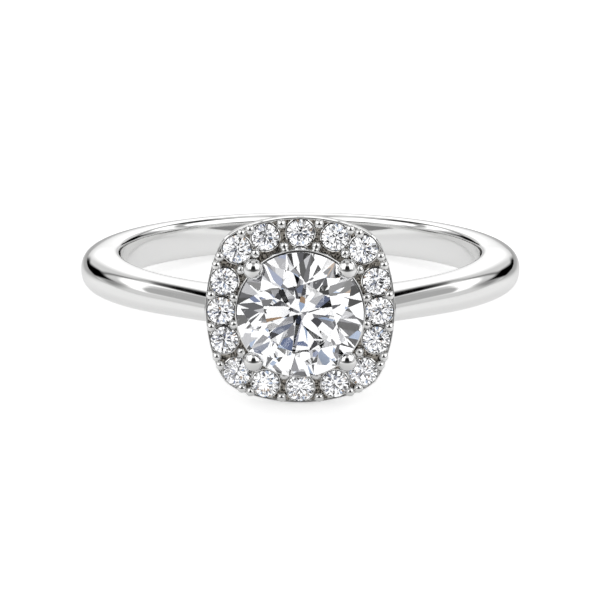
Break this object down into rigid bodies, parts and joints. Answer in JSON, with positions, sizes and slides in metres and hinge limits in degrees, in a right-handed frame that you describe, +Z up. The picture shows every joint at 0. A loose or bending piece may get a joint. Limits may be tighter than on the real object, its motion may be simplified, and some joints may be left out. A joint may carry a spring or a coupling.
{
  "type": "halo ring",
  "caption": "Slim polished finger ring lying on its side, its head a cushion-shaped frame of small round stones about a large round stone held by ball-tipped prongs.",
  "frame": {"origin": "bottom centre of the box round the ring as it lies on its side on a table", "axes": "+Z up from the table, the head towards -Y, +X to the right as seen facing the head; the finger bore leans 9.8 degrees from +Z towards +Y"},
  "size_m": [0.0208, 0.022, 0.0084],
  "materials": {
    "metal": "mirror-polished white gold",
    "stone": "clear cut stone with polished facets"
  },
  "bodies": {
    "root": {"ring_mount": "metal", "centre_stone": "stone", "halo_stone_01": "stone", "halo_stone_02": "stone", "halo_stone_03": "stone", "halo_stone_04": "stone", "halo_stone_05": "stone", "halo_stone_06": "stone", "halo_stone_07": "stone", "halo_stone_08": "stone", "halo_stone_09": "stone", "halo_stone_10": "stone", "halo_stone_11": "stone", "halo_stone_12": "stone", "halo_stone_13": "stone", "halo_stone_14": "stone", "halo_stone_15": "stone", "halo_stone_16": "stone"}
  },
  "joints": []
}
